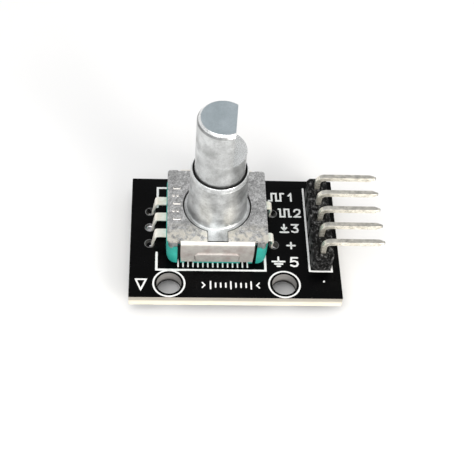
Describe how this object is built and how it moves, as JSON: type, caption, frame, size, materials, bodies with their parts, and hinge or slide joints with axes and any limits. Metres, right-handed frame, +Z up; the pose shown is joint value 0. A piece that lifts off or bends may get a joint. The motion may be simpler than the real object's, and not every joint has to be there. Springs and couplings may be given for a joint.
{
  "type": "rotary encoder module",
  "caption": "Push-button rotary encoder with a D-shaft, soldered on a small black board with two mounting holes and a right-angle pin header.",
  "frame": {"origin": "on the shaft's axis, at the board's underside", "axes": "+Z up along the shaft, +X towards the header pins, +Y away from the mounting holes"},
  "size_m": [0.031, 0.0185, 0.0235],
  "materials": {
    "solder_mask": "glossy near-black solder mask on glass-epoxy board, white printed marks, pale bare edge",
    "cover_steel": "galvanised stamped steel, mottled, bright at the folds",
    "die_cast": "satin die-cast zinc with faint mottling and bright chamfers",
    "spring_metal": "bright phosphor bronze strip",
    "teal_plastic": "teal moulded plastic, soft sheen",
    "black_plastic": "black moulded plastic, soft sheen",
    "pale_resin": "natural acetal resin",
    "tinned_terminal": "matt tin plate on brass strip, creamy",
    "plated_pin": "tin plate on drawn brass wire, fine scratches along the pin",
    "solder": "bright reflowed solder",
    "resistor_ceramic": "black glazed chip resistor with tinned ends"
  },
  "bodies": {
    "base": {"circuit_board": "solder_mask", "switch_housing": "teal_plastic", "encoder_housing": "teal_plastic", "bushing": "die_cast", "cover_plate": "cover_steel", "switch_contact_ring": "spring_metal", "switch_contact_pad": "spring_metal", "switch_dome": "spring_metal", "terminal_a": "tinned_terminal", "terminal_c": "tinned_terminal", "terminal_b": "tinned_terminal", "terminal_d": "tinned_terminal", "terminal_e": "tinned_terminal", "wiper_a": "spring_metal", "wiper_c": "spring_metal", "wiper_b": "spring_metal", "solder_terminal_a": "solder", "solder_terminal_c": "solder", "solder_terminal_b": "solder", "solder_terminal_d": "solder", "solder_terminal_e": "solder", "header_housing": "black_plastic", "header_pin_1": "plated_pin", "header_pin_2": "plated_pin", "header_pin_3": "plated_pin", "header_pin_4": "plated_pin", "header_pin_5": "plated_pin", "solder_pin_1": "solder", "solder_pin_2": "solder", "solder_pin_3": "solder", "solder_pin_4": "solder", "solder_pin_5": "solder", "pull_up_resistor_1": "resistor_ceramic", "pull_up_resistor_2": "resistor_ceramic"},
    "rotor": {"rotor": "pale_resin", "code_disc": "spring_metal", "detent_spring": "spring_metal"},
    "shaft": {"shaft": "die_cast", "retaining_clip": "spring_metal"},
    "plunger": {"switch_plunger": "pale_resin"}
  },
  "joints": [
    {"name": "shaft_spin", "type": "hinge", "parent": "base", "child": "rotor", "pos_m": [0, 0, 0], "axis": [0, 0, 1], "continuous": true},
    {"name": "shaft_push", "type": "slide", "parent": "rotor", "child": "shaft", "axis": [0, 0, 1], "range_m": [-0.0005, 0], "stiffness_N_per_m": 6000, "springref_m": 0.0002},
    {"name": "plunger_push", "type": "slide", "parent": "base", "child": "plunger", "axis": [0, 0, 1], "range_m": [-0.0005, 0], "deforming": ["switch_dome"]}
  ],
  "couplings": [
    {"joint": "plunger_push", "follows": "shaft_push", "ratio": 1}
  ]
}
